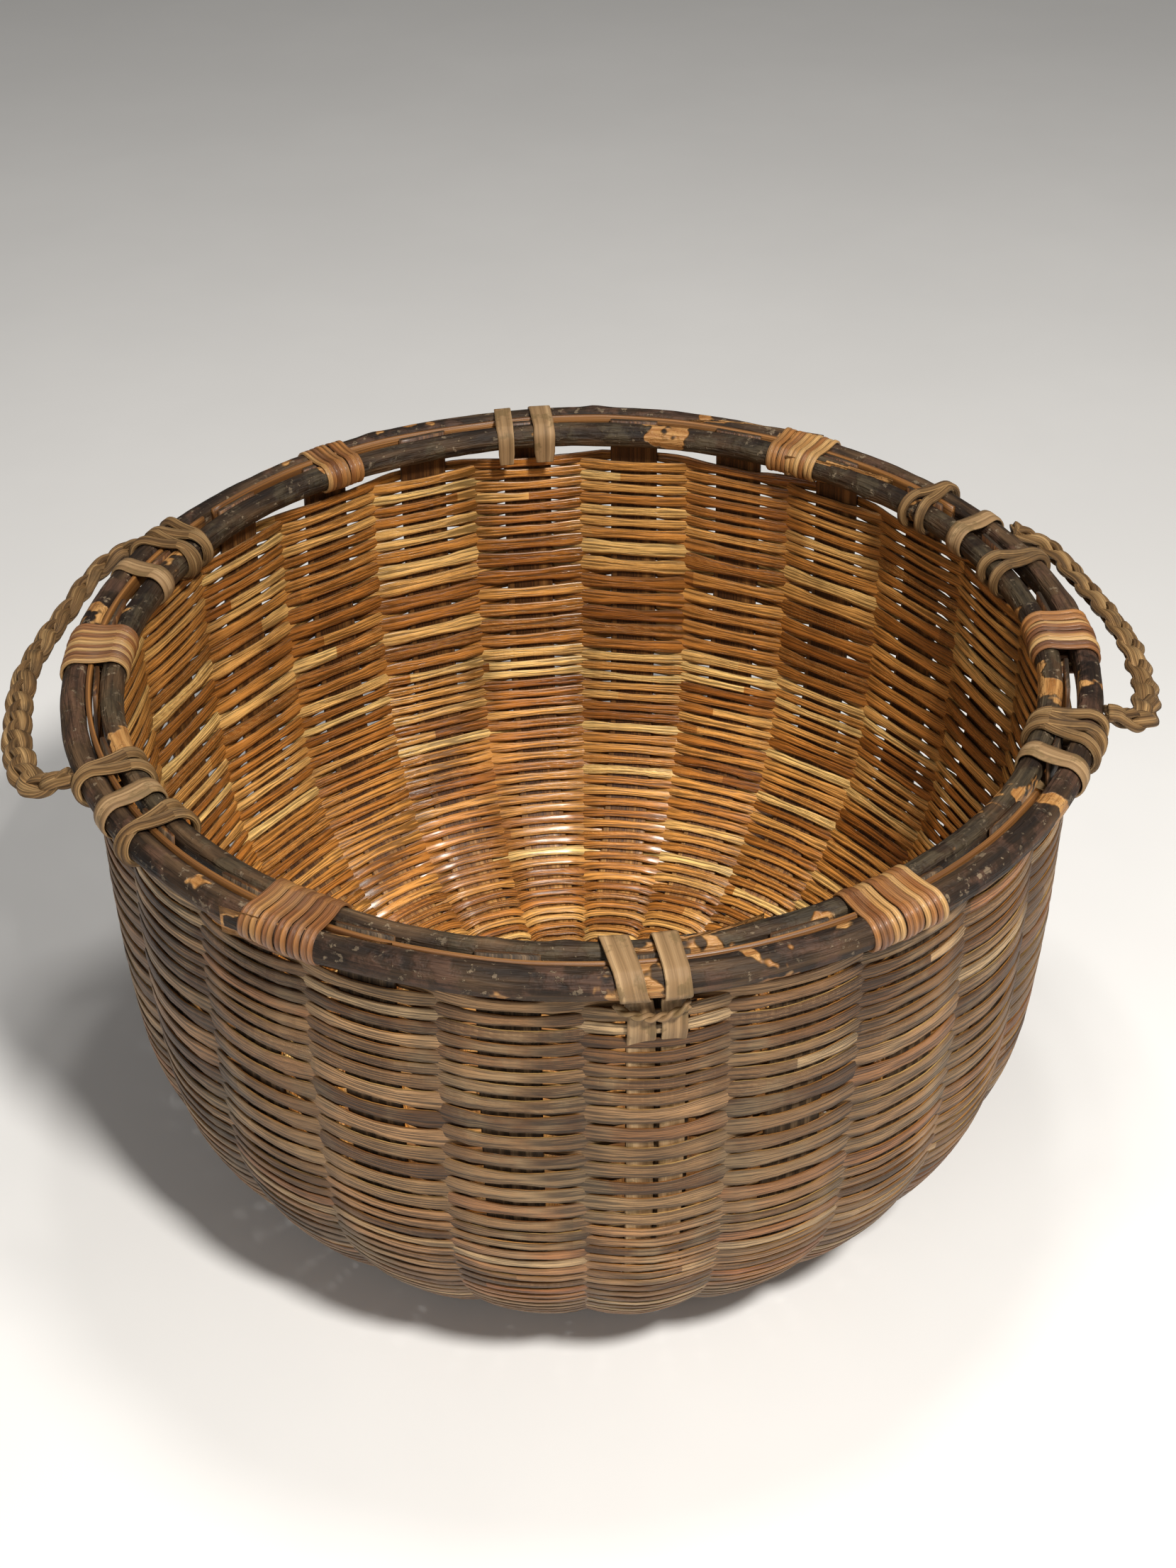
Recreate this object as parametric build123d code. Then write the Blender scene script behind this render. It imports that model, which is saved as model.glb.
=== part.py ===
"""Round farm basket: flat staves woven through split wefts, a rim of two bark-on hoops lashed
over the wall, and two plaited vine handles that swing on the rim.

Millimetres, +Z up. The origin is at the centre of the base, on the surface the basket stands on.
The mouth is round about Z. Azimuth 0 is +X, where the right handle is; the front faces -Y.
"""
from build123d import *
import math
import os

# --- overall sizes
rim_radius = 230.0  # outside of the outer hoop
rim_height = 274.0  # top of the hoops above the floor

# --- hoops: split branches, round with a flat towards the wall
outer_hoop_diameter = 13.0
inner_hoop_diameter = 12.0
hoop_flat_share = 0.86  # width of the hoop left after its wall side is split flat
hoop_gap_slack = 2.0  # room between the two flats beyond a stave end and the filler splint
scarf_angle = 20.0  # between a scarf cut and the hoop, in degrees
scarf_kerf = 0.4  # gap between the two faces of a scarf
outer_scarf_azimuths = (-118.0, 66.0)
inner_scarf_azimuths = (-78.0, 51.0)

# --- bowl: the middle surface of the staves
heel_radius = 71.4  # tight bend out of the flat base
heel_sweep = 40.0  # degrees of bend that the heel takes
wall_lean = 5.0  # outward lean of the wall above the big bend, in degrees
flat_base_shortfall = 1.3  # the flat base ends this far inside the corner staves' turns

# --- staves: flat splints that cross under the base and run up both sides
staves_each_way = 6
stave_width = 24.0
stave_thickness = 2.0
base_gap = 5.0  # between neighbouring staves where they cross in the base
crossing_clearance = 0.5  # between the faces of two staves that cross
stave_top_below_rim = 1.5
stave_hoop_clearance = 0.5  # between the stave ends and the inner hoop

# --- wefts: split strips, packed in courses round the outside of the staves
weft_thickness = 2.2
weft_stand_off = 0.3
weft_top_below_rim = 22.0
course_gap = 0.4
course_count = 6
first_course_inset = 12.0  # how far the first course reaches in under the flat base

# --- lashings, rope ends and straps that go round both hoops
lashing_clearance = 0.25
whipping_thickness = 1.6
whipping_stave_clearance = 1.2  # from each end of a whipping to the stave beside it
whipping_azimuths = (0.0, 60.0, 120.0, 180.0, 240.0, 300.0)
rope_end_thickness = 4.4
rope_end_length = 9.0
rope_end_azimuths = {"right_back": 17.0, "right_front": -17.2,
                     "left_back": 152.6, "left_front": 207.4}
collar_thickness = 1.5
collar_length = 11.0
collar_azimuths = {"right_back": 29.0, "right_front": -27.5,
                   "left_back": 163.3, "left_front": 211.7}

# --- filler splint between the stave ends and the outer hoop
filler_thickness = 2.4
filler_clearance = 0.3
filler_height = 8.0
filler_arcs = ((-117.0, -32.0), (33.0, 146.0), (148.0, 240.0))  # start and end azimuth

# --- straps tucked over the rim along one stave, front and back
strap_width = 10.0
strap_thickness = 1.0
strap_gap = 0.6  # between the two straps of a pair
strap_clearance = 0.3
strap_tail = 14.0  # length that hangs down inside the inner hoop
strap_azimuths = {"front": -82.5, "back": 97.5}
strap_length_on_wall = 190.0
strap_tie_diameter = 3.0
strap_tie_length = 26.0
strap_tie_clearance = 1.0  # from the tie down to the top weft course

# --- handles: plaited vine, hinged on the line between their two ends
handle_rope_diameter = 10.0
handle_eye_diameter = 11.0
handle_middles = {"right": 6.0, "left": 180.0}  # azimuths
handle_half_chords = {"right": 78.0, "left": 94.0}
handle_depths = {"right": 34.0, "left": 41.0}
handle_bend_radius = 24.0
handle_droop = 24.0  # degrees below level at rest
handle_pivot_clearance = 1.0

# --- worked-out places
outer_hoop_depth = outer_hoop_diameter * hoop_flat_share
inner_hoop_depth = inner_hoop_diameter * hoop_flat_share
gap_outside = rim_radius - outer_hoop_depth
hoop_gap = stave_thickness + filler_thickness + hoop_gap_slack
gap_inside = gap_outside - hoop_gap
mouth_radius = gap_inside - inner_hoop_depth
hoop_middle = rim_height - outer_hoop_diameter / 2
wall_top_radius = gap_inside + stave_hoop_clearance + stave_thickness / 2
stave_count = 4 * staves_each_way
stave_step = 360.0 / stave_count
base_pitch = stave_width + base_gap
rim_middle = (rim_radius + mouth_radius) / 2
stave_spacing = 2 * math.pi * rim_middle / stave_count
whipping_length = stave_spacing - stave_width - 2 * whipping_stave_clearance
wall_top = rim_height - stave_top_below_rim
# a flat splint stands proud of the round at its two edges
stave_bow = wall_top_radius - math.sqrt(wall_top_radius ** 2 - stave_width ** 2 / 4)
strap_inside = stave_thickness / 2 + strap_clearance
strap_bow = 4 * stave_bow
strap_outside = strap_inside + strap_thickness
weft_inside = strap_outside + strap_bow * 0.5 + weft_stand_off
weft_outside = weft_inside + weft_thickness
base_level = weft_outside
# the flat base reaches to where the outermost staves turn towards the rim
corner_fan = math.radians((staves_each_way - 1) / 2 * stave_step)
corner_turn_radius = (staves_each_way - 1) / 2 * base_pitch / math.sin(corner_fan)
flat_radius = corner_turn_radius - flat_base_shortfall
first_course_radius = flat_radius - first_course_inset
# the big bend from the heel to the wall fills what is left of the width
heel_turn = math.sin(math.radians(heel_sweep))
knuckle_width = wall_top_radius - flat_radius - heel_radius * heel_turn
knuckle_radius = knuckle_width / (math.cos(math.radians(wall_lean)) - heel_turn)


class Bowl:
    """The middle surface of the wall as four tangent stretches, measured along a meridian."""

    def __init__(self):
        sweep = math.radians(heel_sweep)
        lean = math.radians(wall_lean)
        self.heel_z = base_level + heel_radius
        knuckle_reach = knuckle_radius - heel_radius
        self.knuckle_z = self.heel_z + knuckle_reach * math.cos(sweep)
        self.wall_z = self.knuckle_z - knuckle_radius * math.sin(lean)
        # the wall arc leaves the knuckle at the lean and lands on the rim's middle
        rise = wall_top - self.wall_z
        self.wall_turn = 2 * lean
        self.wall_radius = rise / (2 * math.sin(lean))
        self.knuckle_r = wall_top_radius - knuckle_radius * math.cos(lean)
        self.heel_r = flat_radius
        self.sweep = sweep
        self.lean = lean
        self.marks = [0.0, flat_radius]
        self.marks.append(self.marks[-1] + heel_radius * sweep)
        self.marks.append(self.marks[-1] + knuckle_radius * (math.pi / 2 - lean - sweep))
        self.marks.append(self.marks[-1] + self.wall_radius * self.wall_turn)

    @property
    def length(self):
        return self.marks[-1]

    def at(self, s, offset=0.0):
        """Radius, height and slope (radians from level) at distance s, offset outwards."""
        flat, heel, knuckle = self.marks[1:4]
        if s <= flat:
            return s, base_level - offset, 0.0
        if s <= heel:
            slope = (s - flat) / heel_radius
            radius = heel_radius + offset
            return (self.heel_r + radius * math.sin(slope),
                    self.heel_z - radius * math.cos(slope), slope)
        if s <= knuckle:
            slope = self.sweep + (s - heel) / knuckle_radius
            radius = knuckle_radius + offset
            return (self.knuckle_r + radius * math.sin(slope),
                    self.knuckle_z - radius * math.cos(slope), slope)
        slope = math.pi / 2 - self.lean + (s - knuckle) / self.wall_radius
        centre_r = wall_top_radius - self.wall_radius * math.cos(self.lean)
        centre_z = self.wall_z + self.wall_radius * math.sin(self.lean)
        radius = self.wall_radius + offset
        return (centre_r + radius * math.sin(slope), centre_z - radius * math.cos(slope), slope)

    def at_radius(self, r):
        """Distance along the meridian where the lower bowl has radius r."""
        low, high = 0.0, self.marks[3]
        for _ in range(60):
            middle = (low + high) / 2
            if self.at(middle)[0] < r:
                low = middle
            else:
                high = middle
        return low

    def at_height(self, z):
        """Distance along the meridian where the wall is at height z."""
        low, high = self.marks[1], self.length
        for _ in range(60):
            middle = (low + high) / 2
            if self.at(middle)[1] < z:
                low = middle
            else:
                high = middle
        return low

    def edges(self, start, end, offset):
        """Arcs along the meridian from start to end, at an offset from the middle surface."""
        stops = [start] + [m for m in self.marks if start + 0.5 < m < end - 0.5] + [end]
        made = []
        for a, b in zip(stops, stops[1:]):
            points = [(r, 0, z) for r, z, _ in (self.at(s, offset) for s in (a, (a + b) / 2, b))]
            level = b <= flat_radius
            made.append(Line(points[0], points[2]) if level else ThreePointArc(*points))
        return made


bowl = Bowl()


def about_z(shape, azimuth):
    return Rot(0, 0, azimuth) * shape


def arc_degrees(length, radius):
    return math.degrees(length / radius)


def turned(face, start, end):
    """Sweeps a face in the XZ plane about Z, from one azimuth to another."""
    if end - start >= 360:
        return revolve(face, Axis.Z)
    return about_z(revolve(face, Axis.Z, revolution_arc=end - start), start)


def meridian_face(start, end, inner, outer):
    """Closed outline between two offsets of the bowl, in the XZ plane."""
    inside = bowl.edges(start, end, inner)
    outside = bowl.edges(start, end, outer)
    foot = Line(inside[0] @ 0, outside[0] @ 0)
    head = Line(inside[-1] @ 1, outside[-1] @ 1)
    return make_face(inside + [head] + outside + [foot])


# ------------------------------------------------------------------ hoops
def hoop_face(flat_radius, diameter, depth, outwards):
    """Round section with a flat on the side that faces the wall."""
    side = 1 if outwards else -1
    centre = flat_radius + side * (depth - diameter / 2)
    disc = Pos(centre, 0, hoop_middle) * Rot(90, 0, 0) * Circle(diameter / 2)
    keep = Pos(flat_radius + side * diameter / 2, 0, hoop_middle) * Rot(90, 0, 0)
    return disc & keep * Rectangle(diameter, 2 * diameter)


def scarf_cut(radius, azimuth, diameter):
    """Thin slanting slab that parts a hoop into two branches at a scarf."""
    length = 2 * diameter / math.sin(math.radians(scarf_angle))
    slab = Box(scarf_kerf, length, 2 * diameter)
    place = Pos(radius, 0, hoop_middle) * Rot(0, 0, scarf_angle)
    return about_z(place * slab, azimuth)


def hoop_halves(face, radius, azimuths, diameter):
    ring = revolve(face, Axis.Z)
    for azimuth in azimuths:
        ring = ring - scarf_cut(radius, azimuth, diameter)
    return ring.solids()


outer_face = hoop_face(gap_outside, outer_hoop_diameter, outer_hoop_depth, True)
inner_face = hoop_face(gap_inside, inner_hoop_diameter, inner_hoop_depth, False)
outer_halves = hoop_halves(outer_face, rim_radius - outer_hoop_depth / 2,
                           outer_scarf_azimuths, outer_hoop_diameter)
inner_halves = hoop_halves(inner_face, mouth_radius + inner_hoop_depth / 2,
                           inner_scarf_azimuths, inner_hoop_diameter)
parts = {
    "outer_hoop_right": outer_halves.sort_by(Axis.X)[-1],
    "outer_hoop_left": outer_halves.sort_by(Axis.X)[0],
    "inner_hoop_right": inner_halves.sort_by(Axis.X)[-1],
    "inner_hoop_left": inner_halves.sort_by(Axis.X)[0],
}


# ------------------------------------------------------------------ filler splints
def filler(start, end):
    """Flat splint on edge between the stave ends and the outer hoop."""
    middle = gap_outside - filler_clearance - filler_thickness / 2
    place = Pos(middle, 0, rim_height - 1.0 - filler_height / 2) * Rot(90, 0, 0)
    return turned(place * Rectangle(filler_thickness, filler_height), start, end)


for index, (start, end) in enumerate(filler_arcs, 1):
    parts[f"rim_filler_{index}"] = filler(start, end)


# ------------------------------------------------------------------ lashings round both hoops
def sleeve(azimuth, length, thickness):
    """Closed band round both hoops, on the stretch of rim centred on an azimuth."""
    width = rim_radius - mouth_radius + 2 * lashing_clearance
    height = outer_hoop_diameter + 2 * lashing_clearance
    place = Pos(rim_middle, 0, hoop_middle) * Rot(90, 0, 0)
    hole = RectangleRounded(width, height, height / 2 - 0.1)
    skin = RectangleRounded(width + 2 * thickness, height + 2 * thickness,
                            height / 2 + thickness - 0.1)
    half = arc_degrees(length, rim_middle) / 2
    return turned(place * (skin - hole), azimuth - half, azimuth + half)


for index, azimuth in enumerate(whipping_azimuths, 1):
    parts[f"whipping_{index}"] = sleeve(azimuth, whipping_length, whipping_thickness)

for place, azimuth in rope_end_azimuths.items():
    parts[f"rope_end_{place}"] = sleeve(azimuth, rope_end_length, rope_end_thickness)
for place, azimuth in collar_azimuths.items():
    parts[f"collar_{place}"] = sleeve(azimuth, collar_length, collar_thickness)


# ------------------------------------------------------------------ staves
def crossing_places():
    """Offsets from the middle of the base at which the staves of one set lie."""
    return [(i - (staves_each_way - 1) / 2) * base_pitch for i in range(staves_each_way)]


def woven_strip(index, reach):
    """Straight stretch of a stave along Y, over and under the staves that it crosses."""
    lift = (stave_thickness + crossing_clearance) / 2
    hold = stave_width / 2 + 0.6
    line = [(-reach, 0.0)]
    for j, place in enumerate(crossing_places()):
        height = lift if (index + j) % 2 else -lift
        line += [(place - hold, height), (place + hold, height)]
    line.append((reach, 0.0))
    top = [(y, base_level + z + stave_thickness / 2) for y, z in line]
    bottom = [(y, base_level + z - stave_thickness / 2) for y, z in reversed(line)]
    outline = make_face(Polyline(*top, *bottom, close=True))
    upright = Rot(0, 0, 90) * Rot(90, 0, 0) * outline
    return extrude(upright, amount=stave_width / 2, both=True)


def stave(index):
    """Whole stave along Y: up one side, across the base and up the other.

    At each end of the base it turns to a meridian, with the corner of the turn rounded off.
    """
    x = crossing_places()[index]
    fan = (index - (staves_each_way - 1) / 2) * stave_step
    turn_radius = x / math.sin(math.radians(fan))
    reach = x / math.tan(math.radians(fan))
    face = meridian_face(turn_radius, bowl.length, -stave_thickness / 2, stave_thickness / 2)
    leg = extrude(face, amount=stave_width / 2, both=True)
    turn = Cylinder(stave_width / 2, stave_thickness, arc_size=180)
    turns = [Pos(x, reach, base_level) * turn, Pos(x, -reach, base_level) * Rot(0, 0, 180) * turn]
    strip = Pos(x, 0, 0) * woven_strip(index, reach)
    return strip + [about_z(leg, 90 - fan), about_z(leg, fan - 90)] + turns


for index in range(staves_each_way):
    parts[f"stave_long_{index + 1}"] = stave(index)
    # the cross set starts on the other side of its neighbours, so the two sets interlock
    parts[f"stave_cross_{index + 1}"] = about_z(stave(index), -90)


# ------------------------------------------------------------------ strap pairs
def strap_face():
    """Outline of a strap in the XZ plane: a tail inside the rim, over it and down the wall."""
    width = rim_radius - mouth_radius + 2 * strap_clearance
    height = outer_hoop_diameter + 2 * strap_clearance
    upright = Pos(rim_middle, 0, hoop_middle) * Rot(90, 0, 0)
    hole = RectangleRounded(width, height, height / 2 - 0.1)
    skin = RectangleRounded(width + 2 * strap_thickness, height + 2 * strap_thickness,
                            height / 2 + strap_thickness - 0.1)
    start = bowl.length - (rim_height - stave_top_below_rim - hoop_middle) - height / 2
    wall_r = bowl.at(start, strap_inside)[0]
    # open the band below the inner hoop, as far as the wall
    opening = rim_radius + width - wall_r
    cut = Pos(wall_r - rim_middle - opening / 2, -height) * Rectangle(opening, 2 * height)
    band = upright * (skin - hole - cut)
    tail_r = mouth_radius - strap_clearance - strap_thickness / 2
    tail = Rot(90, 0, 0) * Rectangle(strap_thickness, strap_tail)
    tail = Pos(tail_r, 0, hoop_middle - strap_tail / 2 + 0.5) * tail
    wall = meridian_face(start - strap_length_on_wall, start - strap_thickness / 2,
                         strap_inside, strap_outside)
    return band + tail + wall


def strap_pair(azimuth):
    """Two straps side by side, centred on one stave."""
    strip = extrude(strap_face(), amount=strap_width / 2, both=True)
    shift = (strap_width + strap_gap) / 2
    return [about_z(Pos(0, side * shift, 0) * strip, azimuth) for side in (-1, 1)]


for place, azimuth in strap_azimuths.items():
    hands = ("left", "right") if place == "front" else ("right", "left")
    for hand, strip in zip(hands, strap_pair(azimuth)):
        parts[f"strap_{place}_{hand}"] = strip

tie_height = rim_height - weft_top_below_rim + strap_tie_clearance + strap_tie_diameter / 2
tie_layer = strap_outside + strap_bow * 0.5 + strap_clearance + strap_tie_diameter / 2
tie_radius = bowl.at(bowl.at_height(tie_height), tie_layer)[0]
tie_half = arc_degrees(strap_tie_length, tie_radius) / 2
tie_face = Pos(tie_radius, 0, tie_height) * Rot(90, 0, 0) * Circle(strap_tie_diameter / 2)
parts["strap_tie"] = turned(tie_face, strap_azimuths["front"] - tie_half,
                            strap_azimuths["front"] + tie_half)


# ------------------------------------------------------------------ weft courses
course_start = bowl.at_radius(first_course_radius)
course_end = bowl.at_height(rim_height - weft_top_below_rim)
course_length = (course_end - course_start + course_gap) / course_count
for index in range(course_count):
    start = course_start + index * course_length
    face = meridian_face(start, start + course_length - course_gap, weft_inside, weft_outside)
    parts[f"weft_course_{index + 1}"] = turned(face, 0, 360)


# ------------------------------------------------------------------ handles
def rope_bend(radius, start, end):
    """Length of round rope bent about Z, in the XY plane, from one azimuth to another."""
    return turned(Pos(radius, 0, 0) * Rot(90, 0, 0) * Circle(handle_rope_diameter / 2), start, end)


def handle_loop(side):
    """D-shaped loop in the XY plane: the chord lies on Y, and the loop reaches out to +X."""
    corner = handle_bend_radius
    depth = handle_depths[side]
    centre = handle_half_chords[side] - corner
    top = (depth ** 2 + centre ** 2 - corner ** 2) / (2 * (depth - corner))
    turn = math.degrees(math.atan2(centre, top - depth))
    low = Pos(0, -centre, 0) * rope_bend(corner, -90, -turn)
    middle = Pos(depth - top, 0, 0) * rope_bend(top, -turn, turn)
    high = Pos(0, centre, 0) * rope_bend(corner, turn, 90)
    return low + middle + high


def pivot_radius(side):
    """Distance from Z to the pivot line, which clears the outer hoop at the handle's ends."""
    reach = rim_radius + handle_eye_diameter / 2 + handle_pivot_clearance
    return math.sqrt(reach ** 2 - handle_half_chords[side] ** 2)


def handle(side):
    loop = handle_loop(side)
    for end in (-1, 1):
        eye = Rot(0, 90, 0) * Sphere(handle_eye_diameter / 2)
        loop += Pos(0, end * handle_half_chords[side], 0) * eye
    hung = Pos(pivot_radius(side), 0, hoop_middle) * Rot(0, handle_droop, 0) * loop
    return about_z(hung, handle_middles[side])


for side in handle_middles:
    parts[f"handle_{side}"] = handle(side)

os.makedirs("parts", exist_ok=True)
for name, shape in parts.items():
    export_step(shape, f"parts/{name}.step")
print(f"{len(parts)} parts, pivots at {pivot_radius('right'):.2f} and {pivot_radius('left'):.2f}, "
      f"height {hoop_middle:.2f}, flat base radius {flat_radius:.1f}, "
      f"mouth radius {mouth_radius:.1f}")
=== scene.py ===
"""Deep round farm basket: woven splint rows on upright staves, a lashed rim and two plaited handles."""
import math

import bpy
import numpy as np
from mathutils import Matrix, Vector


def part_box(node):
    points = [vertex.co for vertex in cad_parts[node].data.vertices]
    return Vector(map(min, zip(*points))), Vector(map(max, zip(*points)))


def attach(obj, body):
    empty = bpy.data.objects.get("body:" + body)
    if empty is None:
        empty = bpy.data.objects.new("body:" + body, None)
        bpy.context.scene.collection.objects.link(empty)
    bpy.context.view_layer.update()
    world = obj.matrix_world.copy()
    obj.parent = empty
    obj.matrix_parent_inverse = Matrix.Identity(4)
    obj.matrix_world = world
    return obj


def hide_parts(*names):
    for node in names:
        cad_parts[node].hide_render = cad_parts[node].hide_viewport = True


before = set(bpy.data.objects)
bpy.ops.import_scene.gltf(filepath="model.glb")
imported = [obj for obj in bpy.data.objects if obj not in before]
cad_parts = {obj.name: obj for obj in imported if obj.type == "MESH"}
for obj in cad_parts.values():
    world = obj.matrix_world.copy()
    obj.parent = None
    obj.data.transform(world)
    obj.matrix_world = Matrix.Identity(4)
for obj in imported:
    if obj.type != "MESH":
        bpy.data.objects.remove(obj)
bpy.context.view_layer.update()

# ---------------------------------------------------------------- sizes, in metres
RIM_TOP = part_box("outer_hoop_left")[1].z
RIM_RADIUS = -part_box("outer_hoop_left")[0].x
BASKET = "basket"

OUTER_HOOP = 0.0130  # thickness of the branches
INNER_HOOP = 0.0120
HOOP_FLAT = 0.86  # share of a branch left after its wall side is split flat
HOOP_GAP = 0.0064
SCARF_GAP = 0.0002  # half the gap between the two faces of a scarf
HOOP_MIDDLE = RIM_TOP - OUTER_HOOP / 2
GAP_OUTSIDE = RIM_RADIUS - OUTER_HOOP * HOOP_FLAT
GAP_INSIDE = GAP_OUTSIDE - HOOP_GAP
MOUTH_RADIUS = GAP_INSIDE - INNER_HOOP * HOOP_FLAT

STAVES_EACH_WAY = 6
STAVE_STEP = math.radians(15)
STAVE_WIDTH = 0.0245
STAVE_THICKNESS = 0.0021
TURN_EASE = 0.012  # length over which a stave turns from the base into its fan
BASE_PITCH = 0.029
CROSSING_LIFT = 0.00125
STAVE_TOP = RIM_TOP - 0.0012

KNUCKLE_RADIUS = 0.142
HEEL_RADIUS = 0.0714
HEEL_SWEEP = math.radians(40)
WALL_LEAN = math.radians(5)
WALL_TOP_RADIUS = GAP_INSIDE + 0.0015
BASE_LEVEL = 0.00547

FIRST_ROW = 0.0225  # below the top of the rim
LAST_ROW_RADIUS = 0.094
CROSSING_EDGE = (0.0835, 0.0905)  # the crossed staves of the base end within this
STRAP_PAIRS = math.radians(-82.5), math.radians(3.4)  # azimuth of the pairs and their spread
WEFT_THICKNESS = 0.0013
WEAVE_DEPTH = 0.0028
ROW_STEPS = 240

STRAP_THICKNESS = 0.0010
CANE_WIDTH = 0.0027
CANE_THICKNESS = 0.0013
CANE_STEP = 0.0028  # from one turn of a whipping to the next

HANDLE_BEND = 0.020
HANDLE_CLEARANCE = 0.0065  # from the outer hoop to the line between a handle's ends
STRAND_WIDTH = 0.0080
STRAND_THICKNESS = 0.0038
STRAND_SWING = 0.0034  # of each strand to either side of the plait's middle
HANDLE_DROOP = math.radians(24)
HANDLE_TAIL = 0.006  # length of plait inside each lashing
PLAIT_LENGTH = 0.050  # for one full crossing of the three strands


# ---------------------------------------------------------------- the bowl's middle surface
class Bowl:
    """Radius, height and slope of the wall at distance s from the middle of the base."""

    def __init__(self):
        reach = KNUCKLE_RADIUS - HEEL_RADIUS
        self.heel_z = BASE_LEVEL + HEEL_RADIUS
        self.knuckle_z = self.heel_z + reach * math.cos(HEEL_SWEEP)
        self.wall_z = self.knuckle_z - KNUCKLE_RADIUS * math.sin(WALL_LEAN)
        self.wall_radius = (STAVE_TOP - self.wall_z) / (2 * math.sin(WALL_LEAN))
        self.knuckle_r = WALL_TOP_RADIUS - KNUCKLE_RADIUS * math.cos(WALL_LEAN)
        self.flat = self.knuckle_r + reach * math.sin(HEEL_SWEEP)
        self.heel = self.flat + HEEL_RADIUS * HEEL_SWEEP
        self.knuckle = self.heel + KNUCKLE_RADIUS * (math.pi / 2 - WALL_LEAN - HEEL_SWEEP)
        self.length = self.knuckle + self.wall_radius * 2 * WALL_LEAN

    def at(self, s, offset=0.0):
        s = np.asarray(s, float)
        heel_slope = (s - self.flat) / HEEL_RADIUS
        knuckle_slope = HEEL_SWEEP + (s - self.heel) / KNUCKLE_RADIUS
        wall_slope = math.pi / 2 - WALL_LEAN + (s - self.knuckle) / self.wall_radius
        stretch = [s <= self.flat, s <= self.heel, s <= self.knuckle]
        slope = np.select(stretch, [0 * s, heel_slope, knuckle_slope], wall_slope)
        wall_r = WALL_TOP_RADIUS - self.wall_radius * math.cos(WALL_LEAN)
        wall_z = self.wall_z + self.wall_radius * math.sin(WALL_LEAN)
        centre_r = np.select(stretch, [s, 0 * s + self.flat, 0 * s + self.knuckle_r], wall_r)
        centre_z = np.select(stretch, [0 * s + BASE_LEVEL, 0 * s + self.heel_z,
                                       0 * s + self.knuckle_z], wall_z)
        bend = np.select(stretch, [0 * s, 0 * s + HEEL_RADIUS, 0 * s + KNUCKLE_RADIUS],
                         self.wall_radius) + offset
        radius = np.where(s <= self.flat, s, centre_r + bend * np.sin(slope))
        height = np.where(s <= self.flat, BASE_LEVEL - offset, centre_z - bend * np.cos(slope))
        return radius, height, slope


bowl = Bowl()


# ---------------------------------------------------------------- mesh building
class Skin:
    """Collects lofted surfaces that make up one piece, with a UV map in metres."""

    def __init__(self):
        self.points, self.faces, self.uvs = [], [], []
        self.side, self.tone = [], []
        self.count = 0

    def loft(self, sections, side=None, tone=0.5, closed=False):
        """Skin through sections[i][j]: i along the piece, j round it. Open ends get caps."""
        sections = np.asarray(sections, float)
        rows, around = sections.shape[:2]
        start = self.count
        self.points.append(sections.reshape(-1, 3))
        self.count += rows * around
        side = np.zeros((rows, around)) if side is None else np.broadcast_to(side, (rows, around))
        self.side.append(side.reshape(-1))
        self.tone.append(np.broadcast_to(np.asarray(tone, float), (rows * around,)))
        middle = sections.mean(1)
        steps = np.linalg.norm(np.diff(middle, axis=0), axis=1)
        along = np.concatenate([[0.0], np.cumsum(steps)])
        ring = np.concatenate([sections[rows // 2], sections[rows // 2][:1]])
        across = np.concatenate([[0.0], np.cumsum(np.linalg.norm(np.diff(ring, axis=0), axis=1))])
        last = rows if closed else rows - 1
        lap = along[-1] + np.linalg.norm(middle[0] - middle[-1])
        for i in range(last):
            k = (i + 1) % rows
            u0, u1 = along[i], (lap if k == 0 else along[k])
            for j in range(around):
                n = (j + 1) % around
                self.faces.append((start + i * around + j, start + i * around + n,
                                   start + k * around + n, start + k * around + j))
                v0, v1 = across[j], across[j + 1]
                self.uvs += [(u0, v0), (u0, v1), (u1, v1), (u1, v0)]
        if not closed:
            for i, order in ((0, -1), (rows - 1, 1)):
                self.faces.append([start + i * around + j for j in range(around)][::order])
                self.uvs += [(along[i], v) for v in across[:-1]][::order]

    def piece(self, name, material):
        mesh = bpy.data.meshes.new(name)
        mesh.from_pydata(np.concatenate(self.points).tolist(), [], self.faces)
        layer = mesh.uv_layers.new(name="UVMap")
        layer.data.foreach_set("uv", np.asarray(self.uvs, np.float32).reshape(-1))
        for label, values in (("side", self.side), ("tone", self.tone)):
            attribute = mesh.attributes.new(label, "FLOAT", "POINT")
            attribute.data.foreach_set("value", np.concatenate(values).astype(np.float32))
        mesh.materials.append(material)
        return stood(name, mesh)


def signed_volume(mesh):
    """Six times the enclosed volume, which is positive when the faces point outwards."""
    mesh.calc_loop_triangles()
    points = np.empty(len(mesh.vertices) * 3)
    mesh.vertices.foreach_get("co", points)
    corners = np.empty(len(mesh.loop_triangles) * 3, int)
    mesh.loop_triangles.foreach_get("vertices", corners)
    a, b, c = points.reshape(-1, 3)[corners.reshape(-1, 3)].transpose(1, 0, 2)
    return float(np.einsum("ij,ij->i", a, np.cross(b, c)).sum())


def stood(name, mesh):
    """An object at the origin for a finished mesh, faces outwards."""
    if signed_volume(mesh) < 0:
        mesh.flip_normals()
    mesh.shade_smooth()
    made = bpy.data.objects.new(name, mesh)
    bpy.context.scene.collection.objects.link(made)
    return made


def fitted(made, slot, *nodes, body=BASKET):
    """Rides on a body, in place of CAD nodes; the slot is not used."""
    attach(made, body)
    if nodes:
        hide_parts(*nodes)


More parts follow.
